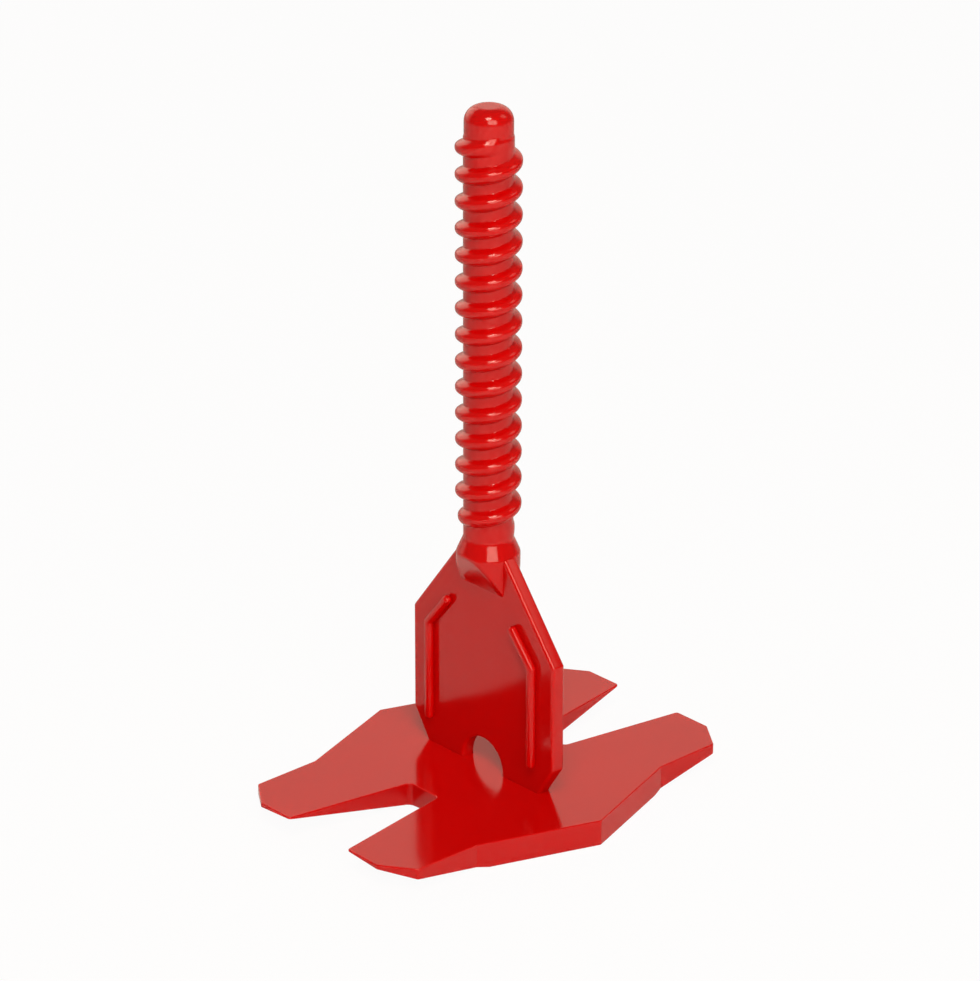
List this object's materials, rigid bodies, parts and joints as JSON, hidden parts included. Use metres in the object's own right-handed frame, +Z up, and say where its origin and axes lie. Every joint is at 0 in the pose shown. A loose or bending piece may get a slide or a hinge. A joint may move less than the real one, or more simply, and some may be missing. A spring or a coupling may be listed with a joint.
{
  "type": "tile levelling clip",
  "caption": "Screw-type tile levelling clip: lobed flat foot, thin snap-off plate with spacer ribs and an arched window, and a tall stem with a coarse right-hand thread.",
  "frame": {"origin": "on the floor under the middle of the foot, on the stem's axis", "axes": "+Z up along the stem, +X along the snap-off plate, +Y through the plate"},
  "size_m": [0.0334, 0.0452, 0.073],
  "materials": {
    "red_plastic": "glossy moulded red plastic"
  },
  "bodies": {
    "root": {"clip": "red_plastic"}
  },
  "joints": []
}
